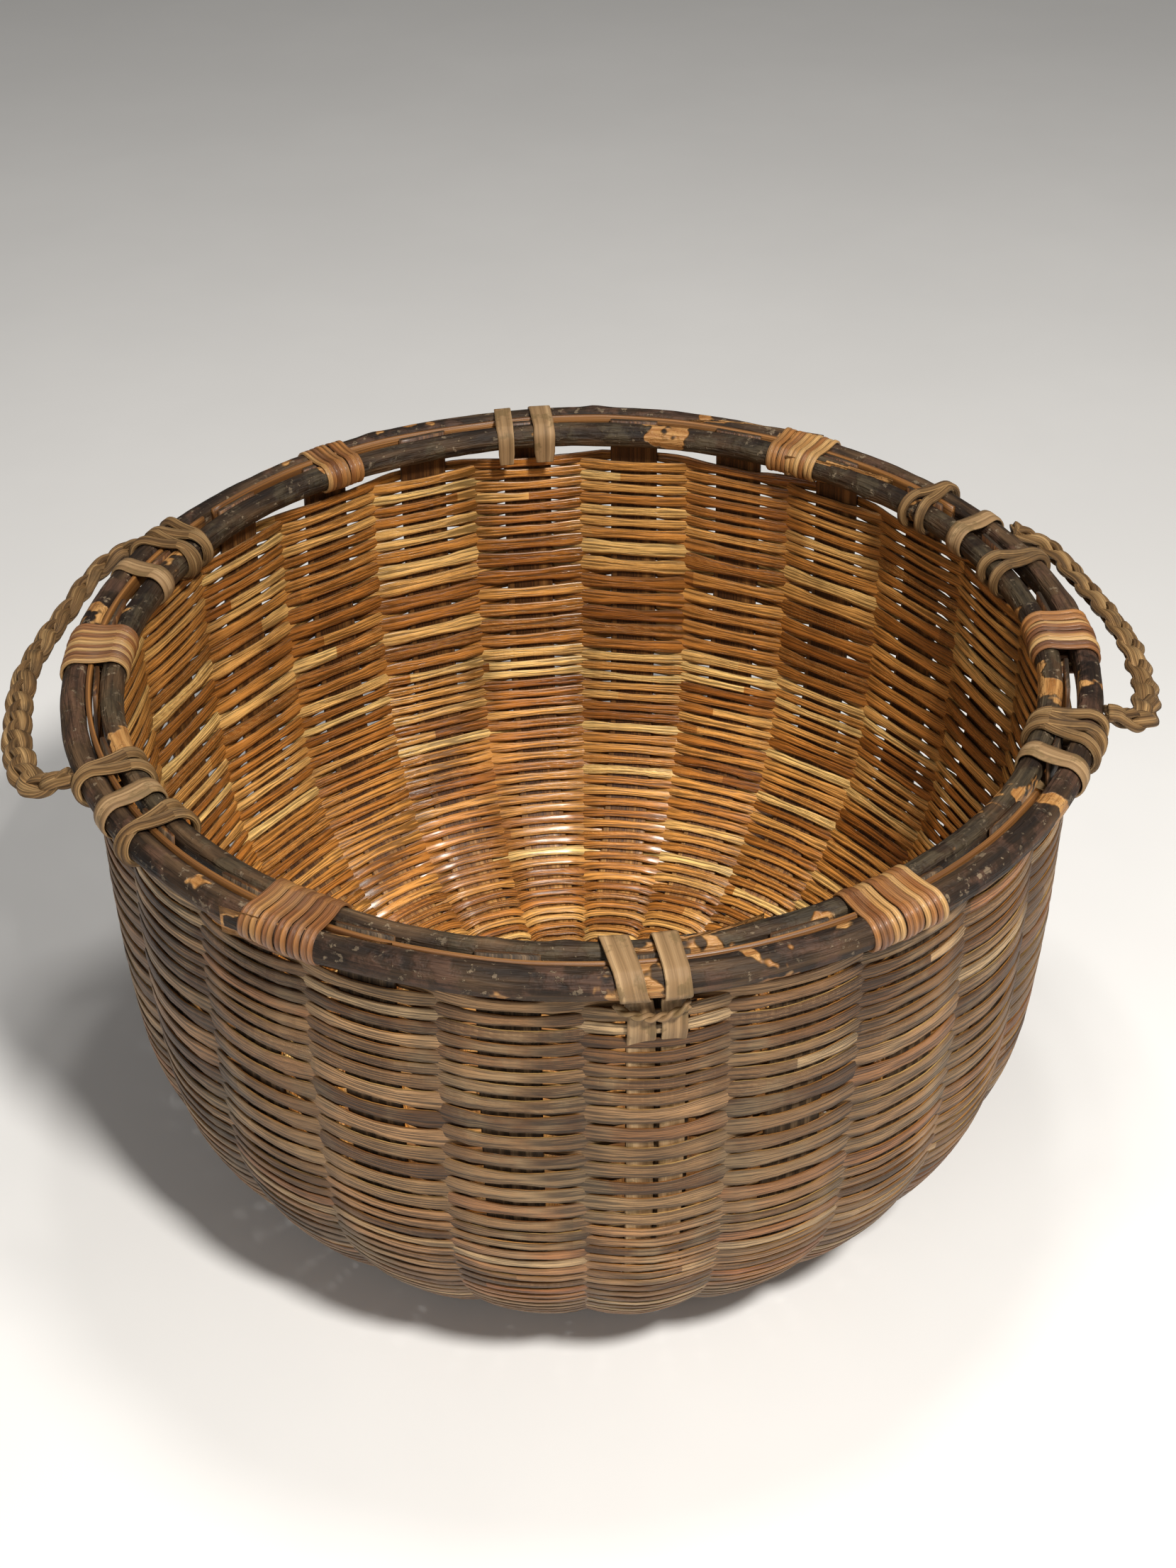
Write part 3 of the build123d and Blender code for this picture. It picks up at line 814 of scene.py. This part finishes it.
# ---------------------------------------------------------------- staves
def stave_half(x, fan, sign):
    """Half a stave from the middle of the base to the rim: points, across and normal."""
    up = np.array((0, 0, 1.0))
    reach = x / math.tan(fan)
    turn_radius = x / math.sin(fan)
    out = np.array((math.sin(fan), math.cos(fan)))
    beside = np.array((out[1], -out[0]))
    corner = np.array((x, reach))
    straight = np.linspace(0, reach - TURN_EASE, 26)[:, None]
    t = np.linspace(0.1, 0.9, 7)[:, None]
    first = corner - np.array((0, TURN_EASE)) * (1 - t)
    second = corner + out * TURN_EASE * t
    plan = np.concatenate([np.hstack([0 * straight + x, straight]), first * (1 - t) + second * t])
    across = np.concatenate([straight * 0 + (1.0, 0.0),
                             unit(np.array((1.0, 0.0)) * (1 - t) + beside * t)])
    across = np.column_stack([across, np.zeros(len(across))])
    radius = np.linalg.norm(plan, axis=1)
    slope = np.arcsin(np.maximum(radius - bowl.flat, 0.0) / HEEL_RADIUS)
    points = np.column_stack([plan, bowl.heel_z - HEEL_RADIUS * np.cos(slope)])
    radial = np.column_stack([plan / radius[:, None], np.zeros(len(plan))])
    normals = up * np.cos(slope)[:, None] - radial * np.sin(slope)[:, None]
    weave = np.tanh(2.2 * np.sin(math.pi * plan[:, 1] / BASE_PITCH) * sign) / math.tanh(2.2)
    fade = np.clip((reach - 0.004 - plan[:, 1]) / 0.010, 0, 1)
    points = points + normals * (weave * CROSSING_LIFT * fade)[:, None]

    start = bowl.flat + HEEL_RADIUS * math.asin(max(turn_radius + TURN_EASE - bowl.flat, 0.001)
                                                / HEEL_RADIUS)
    r, z, slope = bowl.at(np.linspace(start, bowl.length, 34))
    leg = np.column_stack([r * out[0], r * out[1], z])
    radial = np.array((*out, 0.0))
    leg_normals = up * np.cos(slope)[:, None] - radial * np.sin(slope)[:, None]
    leg_across = np.broadcast_to(np.array((*beside, 0.0)), leg.shape)
    return (np.concatenate([points, leg]), np.concatenate([across, leg_across]),
            np.concatenate([normals, leg_normals]))


def stave_line(index):
    """A whole stave along Y, front half and back half: points, across and normal."""
    number = index - (STAVES_EACH_WAY - 1) / 2
    sign = 1 if (index + 3) % 2 else -1
    halves = (stave_half(number * BASE_PITCH, number * STAVE_STEP, way) for way in (-sign, sign))
    flip = np.array((1.0, -1.0, 1.0))
    return (np.concatenate([(front * flip)[:0:-1], back]) for front, back in zip(*halves))


def make_stave(name, index, quarter_turn):
    points, across, normals = stave_line(index)
    if quarter_turn:
        turn = np.array(((0, 1, 0), (-1, 0, 0), (0, 0, 1)), float)
        points, across, normals = points @ turn.T, across @ turn.T, normals @ turn.T
    rng = np.random.default_rng(index + 10 * quarter_turn)
    t = np.linspace(0, 1, len(points))
    width = STAVE_WIDTH * (1 + 0.03 * ripple(t * 2, index + 40 * quarter_turn))
    outline = [(-0.5, -0.3), (-0.46, -0.5), (-0.2, -0.5), (0.2, -0.5), (0.46, -0.5), (0.5, -0.3),
               (0.5, 0.3), (0.46, 0.5), (0.2, 0.5), (-0.2, 0.5), (-0.46, 0.5), (-0.5, 0.3)]
    lofted(name, STAVE, "split_stave", name.replace("splint_", "stave_"),
           swept(points, across, normals, outline, width, STAVE_THICKNESS),
           side=-faces_of(outline), tone=rng.random())


for index in range(STAVES_EACH_WAY):
    make_stave(f"splint_long_{index + 1}", index, False)
    make_stave(f"splint_cross_{index + 1}", index, True)


# ---------------------------------------------------------------- woven rows
def row_places():
    """Distance of each row from the middle of the base, and its pitch, from the top down."""
    rng = np.random.default_rng(7)
    below, rows = FIRST_ROW, []
    last = bowl.length - LAST_ROW_RADIUS
    while below < last:
        pitch = np.interp(below, [0.060, 0.078, 0.128, 0.150], [0.0035, 0.0052, 0.0050, 0.00315])
        pitch *= 1 + 0.10 * (rng.random() - 0.5)
        rows.append((bowl.length - below, pitch))
        below += pitch
    return rows


def make_rows():
    tree = woven_rows_tree()
    rows = row_places()
    rng = np.random.default_rng(21)
    course_start, course_count = 0.106, 6
    course_length = (bowl.length - FIRST_ROW - course_start) / course_count
    courses = [[] for _ in range(course_count)]
    for number, (s, pitch) in enumerate(rows):
        radius, height, slope = (float(v) for v in bowl.at(s))
        course = int(np.clip((s - course_start) // course_length, 0, course_count - 1))
        crisp = float(np.interp(radius, [0.120, 0.215], [2.4, 0.9]))
        courses[course].append({
            "ring_r": radius, "ring_z": height, "slope": slope, "row": number,
            "tall": pitch * (1.66 + 0.26 * (rng.random() - 0.5)), "crisp": crisp,
            "parity": 1.0 if number % 2 else -1.0, "row_tone": rng.random()})
    for course, members in enumerate(courses):
        seeds = bpy.data.meshes.new("row starts")
        seeds.from_pydata([(m["ring_r"], 0, m["ring_z"]) for m in members], [], [])
        for key in members[0]:
            attribute = seeds.attributes.new(key, "FLOAT", "POINT")
            attribute.data.foreach_set("value", [float(m[key]) for m in members])
        made = grown(f"woven_rows_{course + 1}", seeds, tree, steps=ROW_STEPS + 1,
                     strip_thickness=WEFT_THICKNESS, weave_depth=WEAVE_DEPTH,
                     stave_pitch=STAVE_STEP, base_pitch=BASE_PITCH,
                     unevenness=0.0022, seed=3.0, material=WEFT)
        fitted(made, "weft_splint", f"weft_course_{course + 1}")


make_rows()


# ---------------------------------------------------------------- hoops
def branch(name, node, start, end, seed, outwards):
    """Bark-on branch bent round the rim, split flat on the wall side, with scarfed ends.

    start and end are the middles of its two scarfs, in degrees.
    """
    thickness, flat_radius, lap, side, bark = (
        (OUTER_HOOP, GAP_OUTSIDE, math.radians(9.0), 1.0, OUTER_BARK) if outwards
        else (INNER_HOOP, GAP_INSIDE, math.radians(8.0), -1.0, INNER_BARK))
    scarfs = math.radians(start), math.radians(end)
    a0, a1 = scarfs[0] - lap, scarfs[1] + lap
    azimuth = np.linspace(a0, a1, int((a1 - a0) / math.radians(0.8)))
    turns = azimuth / (2 * math.pi)
    radius = thickness / 2
    phi = 2 * math.pi * np.arange(20) / 20
    taper = np.interp(azimuth, [a0, a1], [1.04, 0.93])[:, None]
    lumps = 1 + 0.035 * ripple(turns * 9, seed)[:, None]
    for k in range(1, 4):
        lumps = lumps + 0.02 * (ripple(turns * (14 + 9 * k), seed + k)[:, None]
                                * np.cos(k * phi + seed + k)[None, :])
    rng = np.random.default_rng(seed)
    for _ in range(7):
        knot_at, knot_phi = rng.uniform(a0, a1), rng.uniform(-1.2, 1.8)
        near = ((azimuth - knot_at) * flat_radius / 0.006) ** 2
        facing = np.clip(np.cos(phi - knot_phi), 0, 1) ** 3
        lumps = lumps + 0.16 * np.exp(-near)[:, None] * facing[None, :]
    x = np.cos(phi)[None, :] * radius * taper * lumps * side
    z = np.sin(phi)[None, :] * radius * taper * lumps
    # flat towards the wall
    depth = thickness * HOOP_FLAT
    x = x + flat_radius + side * (depth - radius)
    x = np.maximum(x, flat_radius) if outwards else np.minimum(x, flat_radius)
    # scarfs: one slanting face shared by the two branches
    cut = np.zeros_like(x)
    low, high = sorted((flat_radius, flat_radius + side * depth))
    for centre, leaving in zip(scarfs, (False, True)):
        f = (azimuth - (centre - lap)) / (2 * lap)
        near = ((f >= -0.02) & (f <= 1.02))[:, None]
        face = (high + (low - high) * np.clip(f, 0, 1))[:, None]
        face = face - SCARF_GAP if leaving else face + SCARF_GAP
        trimmed = near & (x > face if leaving else x < face)
        x = np.where(trimmed, face, x)
        cut = np.where(trimmed, 1.0, cut)
    x = x + 0.0006 * ripple(turns * 3, seed + 5)[:, None] * side
    z = z + HOOP_MIDDLE + 0.0009 * ripple(turns * 2, seed + 6)[:, None]
    z = z - (OUTER_HOOP - thickness) * 0.2
    lofted(name, bark, "bark_hoop", node, polar(x, azimuth[:, None], z), side=cut)


for name, node, start, end, seed in (
        ("outer_branch_right", "outer_hoop_right", -118, 66, 31),
        ("outer_branch_left", "outer_hoop_left", 66, 242, 32),
        ("inner_branch_right", "inner_hoop_right", -78, 51, 33),
        ("inner_branch_left", "inner_hoop_left", 51, 282, 34)):
    branch(name, node, start, end, seed, outwards=name.startswith("outer"))


def make_filler(number, start, end):
    azimuth = np.radians(np.linspace(start, end, int((end - start) / 1.5)))
    wander = 0.0012 * ripple(azimuth / 3, 60 + number)
    middle = GAP_OUTSIDE - 0.0015
    path = polar(middle + 0 * azimuth, azimuth, RIM_TOP - 0.0045 + wander)
    outward = polar(1.0 + 0 * azimuth, azimuth, 0.0)
    height = 0.0075 * (1 + 0.12 * ripple(azimuth, 70 + number))
    thick = 0.0022 * (1 + 0.15 * ripple(azimuth / 2, 80 + number))
    sections, side = band_sections(path, outward, height, thick)
    lofted(f"filler_{number}", FILLER, "filler_splint", f"rim_filler_{number}", sections,
           side=side)


for number, (start, end) in enumerate(((-117, -32), (33, 146), (148, 240)), 1):
    make_filler(number, start, end)


# ---------------------------------------------------------------- lashings
RIM_MIDDLE = (RIM_RADIUS + MOUTH_RADIUS) / 2
RIM_HALF = 0.014  # about half the width of the two hoops together


def rim_loop(count, clearance, sag=0.0006):
    """Closed path round both hoops, about their middle: radial, height and outward normal."""
    bend = OUTER_HOOP / 2 + clearance
    straight = (RIM_RADIUS - MOUTH_RADIUS) / 2 + clearance - bend
    half_turn = math.pi * bend
    d = np.linspace(0, 1, count, endpoint=False) * (4 * straight + 2 * half_turn)
    top, outer, under = (d < 2 * straight, d < 2 * straight + half_turn,
                         d < 4 * straight + half_turn)
    a = (d - 2 * straight) / bend
    b = (d - 4 * straight - half_turn) / bend
    dip = sag * (1 - ((d - straight) / straight) ** 2)

    def by_side(on_top, outside, below, inside):
        return np.select([top, outer, under], [on_top + 0 * d, outside, below + 0 * d], inside)

    x = by_side(d - straight, straight + bend * np.sin(a), 3 * straight + half_turn - d,
                -straight - bend * np.sin(b))
    z = by_side(bend - dip, bend * np.cos(a), -bend, -bend * np.cos(b))
    return (x, z, by_side(0.0, np.sin(a), 0.0, -np.sin(b)),
            by_side(1.0, np.cos(a), -1.0, -np.cos(b)))


def closed_band(path, normals, width, thickness):
    """Sections of a flat strip that closes on itself, with a rounded outer face."""
    along = unit(np.roll(path, -1, 0) - np.roll(path, 1, 0))
    outline = [(-0.5, -0.3), (-0.4, -0.5), (0.4, -0.5), (0.5, -0.3),
               (0.5, 0.15), (0.3, 0.5), (-0.3, 0.5), (-0.5, 0.15)]
    return swept(path, unit(np.cross(normals, along)), normals, outline, width, thickness)


def cane_turn():
    """One turn of narrow cane round both hoops, about the origin."""
    x, z, nx, nz = rim_loop(44, 0.0007)
    path, normals = (np.column_stack([across, 0 * across, up]) for across, up in ((x, z), (nx, nz)))
    skin = Skin()
    skin.loft(closed_band(path, normals, CANE_WIDTH, CANE_THICKNESS), closed=True)
    made = skin.piece("cane turn", CANE)
    mesh = made.data
    mesh.attributes.remove(mesh.attributes["tone"])  # each turn gets its own
    bpy.data.objects.remove(made)
    return mesh


def make_whippings():
    tree = lashing_tree()
    turn = cane_turn()
    table = [(1.5, 11), (58.2, 10), (126.0, 8), (180.0, 11), (239.6, 12), (303.0, 12)]
    step = CANE_STEP / RIM_MIDDLE
    for number, (azimuth, turns) in enumerate(table, 1):
        first = math.radians(azimuth) - step * (turns - 1) / 2
        made = grown(f"cane_whipping_{number}", turn.copy(), tree, turns=turns,
                     radius=RIM_MIDDLE, height=HOOP_MIDDLE, first_angle=first, angle_step=step,
                     slant=0.05, looseness=0.06, seed=number * 5, material=CANE)
        fitted(made, "cane_binding", f"whipping_{number}")


make_whippings()


def slanted_loop(azimuth, slant, clearance, count=48):
    """Closed loop round the rim; slant moves the inner side along the rim, in metres."""
    x, z, nx, nz = rim_loop(count, clearance)
    shift = slant * (x / RIM_HALF)
    a = math.radians(azimuth)
    out = np.array((math.cos(a), math.sin(a), 0.0))
    side = np.array((-math.sin(a), math.cos(a), 0.0))
    centre = out * RIM_MIDDLE + np.array((0, 0, HOOP_MIDDLE))
    path = centre + out * x[:, None] + side * shift[:, None]
    path[:, 2] += z
    normals = out * nx[:, None]
    normals[:, 2] += nz
    return path, normals


def loop_onto(skin, azimuth, slant, clearance, width, thickness, tone):
    path, normals = slanted_loop(azimuth, slant, clearance)
    wide = width * (1 + 0.10 * ripple(np.linspace(0, 1, len(path), False), int(tone * 100)))
    skin.loft(closed_band(path, normals, wide, thickness), tone=tone, closed=True)


tie_table = {
    "right_back": {"rope": 18.0, "collar": 28.0, "tail": 36.0, "turn": 1},
    "right_front": {"rope": -17.6, "collar": -25.2, "tail": -20.5, "turn": -1},
    "left_back": {"rope": 153.0, "collar": 162.8, "tail": 155.6, "turn": -1},
    "left_front": {"rope": 205.6, "collar": 211.7, "tail": 216.8, "turn": 1},
}


def make_ties():
    for place, at in tie_table.items():
        turn = at["turn"]
        rope = Skin()
        loop_onto(rope, at["rope"] - 0.8, 0.003 * turn, 0.0016, 0.0058, 0.0030, 0.35)
        loop_onto(rope, at["rope"] + 0.9, -0.0025 * turn, 0.0019, 0.0055, 0.0030, 0.7)
        loop_onto(rope, at["tail"], 0.004 * turn, 0.0017, 0.0055, 0.0032, 0.55)
        loop_onto(rope, at["tail"] + 1.2, -0.002 * turn, 0.0025, 0.0050, 0.0030, 0.25)
        fitted(rope.piece(f"vine_tie_{place}", VINE), "vine_rope", f"rope_end_{place}")
        collar = Skin()
        loop_onto(collar, at["collar"], 0.0022 * turn, 0.0012, 0.0105, 0.0014, 0.6)
        fitted(collar.piece(f"flat_tie_{place}", BAST), "bast_strap", f"collar_{place}")


make_ties()


# ---------------------------------------------------------------- handles
def handle_line(count, chord, depth):
    """Centre line of a hanging loop: distance out and along the chord, and length so far."""
    corner = HANDLE_BEND
    big = (depth ** 2 + (chord - corner) ** 2 - corner ** 2) / (2 * (depth - corner))
    turn = math.atan2(chord - corner, big - depth)
    corner_arc = corner * (math.pi / 2 - turn)
    length = 2 * corner_arc + 2 * big * turn
    d = np.linspace(-HANDLE_TAIL, length + HANDLE_TAIL, count)
    near = np.minimum(d, length - d)
    a, b = near / corner, (near - corner_arc) / big - turn
    stretch = [near < 0, near < corner_arc]
    beside = np.select(stretch, [0 * d - chord, corner - chord - corner * np.cos(a)],
                       big * np.sin(b))
    out = np.select(stretch, [near, corner * np.sin(a)], depth - big + big * np.cos(b))
    return out, np.where(d > length / 2, -beside, beside), d


def make_handle(name, node, body, middle, chord, depth, seed):
    count = 260
    out, beside, d = handle_line(count, chord, depth)
    free = np.clip(out / 0.02, 0, 1)
    out = out + 0.0012 * ripple(d * 6, seed) * free
    lift = 0.0016 * ripple(d * 5, seed + 1) * free
    line = np.column_stack([out, beside, lift])
    along = unit(np.gradient(line, axis=0))
    up = np.array((0, 0, 1.0))
    across = unit(np.cross(up, along))
    skin = Skin()
    for strand in range(3):
        phase = 2 * math.pi * (d / PLAIT_LENGTH + strand / 3)
        tight = np.clip((d - d[0]) / 0.012, 0.4, 1) * np.clip((d[-1] - d) / 0.012, 0.4, 1)
        wide = STRAND_SWING * tight * (1 + 0.15 * ripple(d * 4, seed + 2 + strand))
        path = (line + across * (wide * np.sin(phase))[:, None]
                + up * (0.0021 * np.sin(2 * phase))[:, None])
        tilt = 0.75 * np.cos(phase)[:, None]
        face = up + across * tilt
        broad = STRAND_WIDTH * (1 + 0.12 * ripple(d * 9, seed + 6 + strand))
        sections = strand_sections(path, face, broad, STRAND_THICKNESS, 12)
        skin.loft(ridged(sections, path, seed + strand), tone=0.15 + 0.32 * strand)
    made = skin.piece(name, VINE)
    droop = Matrix.Rotation(HANDLE_DROOP, 4, "Y")
    reach = math.sqrt((RIM_RADIUS + HANDLE_CLEARANCE) ** 2 - chord ** 2)
    place = (Matrix.Rotation(middle, 4, "Z") @ Matrix.Translation((reach, 0, HOOP_MIDDLE))
             @ droop)
    made.data.transform(place)
    fitted(made, "vine_rope", node, body=body)


make_handle("plait_right", "handle_right", "right_handle", math.radians(6), 0.078, 0.031, 100)
make_handle("plait_left", "handle_left", "left_handle", math.pi, 0.094, 0.038, 120)


# ---------------------------------------------------------------- straps over the rim
def strap_path(top_azimuth, foot_azimuth, foot_below, tail):
    """From inside the rim, over both hoops and down to the wall, as points and normals."""
    skin = 0.0011
    inside, outside = MOUTH_RADIUS - skin, RIM_RADIUS + skin
    bend = OUTER_HOOP / 2 + skin
    top = RIM_TOP + skin
    line = [(inside, top - bend - tail), (inside, top - bend - tail / 2)]
    line += [(inside + bend * (1 - math.cos(a)), top - bend * (1 - math.sin(a)))
             for a in np.radians((0, 30, 60, 90))]
    line += [(outside - bend + bend * math.sin(a), top - bend * (1 - math.cos(a)))
             for a in np.radians((0, 30, 60, 90, 120))]
    for below in np.linspace(0.0185, foot_below, 5 if foot_below < 0.05 else 24):
        clear = np.interp(below, [0.0370, 0.0420], [0.0052, 0.0020])
        r, z, _ = bowl.at(bowl.length - below, clear)
        line.append((float(r), float(z)))
    line = smooth_curve([(r, z, 0) for r, z in line], 12 * len(line))[:, :2]
    d = np.concatenate([[0], np.cumsum(np.linalg.norm(np.diff(line, axis=0), axis=1))])
    reach = min(d[-1], 0.075)
    azimuth = np.radians(np.interp(d, [0, 0.02, reach], [top_azimuth, top_azimuth, foot_azimuth]))
    path = polar(line[:, 0], azimuth, line[:, 1])
    along = unit(np.gradient(path, axis=0))
    side = polar(1.0 + 0 * azimuth, azimuth + math.pi / 2, 0.0)
    return path, unit(np.cross(side, along))


def make_strap(name, node, top_azimuth, foot_azimuth, foot_below, width, seed, tail=0.012):
    path, normals = strap_path(top_azimuth, foot_azimuth, foot_below, tail)
    t = np.linspace(0, 1, len(path))
    wide = width * (1 + 0.06 * ripple(t * 3, seed))
    wide = wide * np.interp(t, [0, 0.03, 0.97, 1], [0.8, 1, 1, 0.85])
    sections, side = band_sections(path, normals, wide, STRAP_THICKNESS)
    lofted(name, BAST, "bast_strap", node, sections, side=side)


make_strap("bast_front_left", "strap_front_left", -86.8, -84.3, 0.190, 0.0110, 201)
make_strap("bast_front_right", "strap_front_right", -81.4, -81.0, 0.190, 0.0100, 202)
make_strap("bast_back_left", "strap_back_left", 101.0, 99.6, 0.190, 0.0085, 203)
make_strap("bast_back_right", "strap_back_right", 95.3, 95.8, 0.190, 0.0110, 204)


def make_twine():
    """Two-ply twine across the front straps, its ends tucked under the first row."""
    azimuth = np.radians(np.linspace(-87.0, -79.6, 60))
    t = np.linspace(-1, 1, 60)
    below = 0.0240 - 0.0045 * t ** 2 + 0.0010 * t
    r, z, _ = bowl.at(bowl.length - below, 0.0082)
    centre = polar(r - 0.0016 * t ** 4, azimuth, z)
    out = polar(1.0 + 0 * azimuth, azimuth, 0.0)
    up = np.broadcast_to(np.array((0, 0, 1.0)), centre.shape)
    skin = Skin()
    for strand in range(2):
        a = (t * 9 + strand * math.pi)[:, None]
        path = centre + 0.0010 * (out * np.cos(a) + up * np.sin(a))
        skin.loft(strand_sections(path, out, 0.0023, 0.0020, 8), tone=0.4 + 0.3 * strand)
    fitted(skin.piece("front_twine", BAST), "twine", "strap_tie")


make_twine()
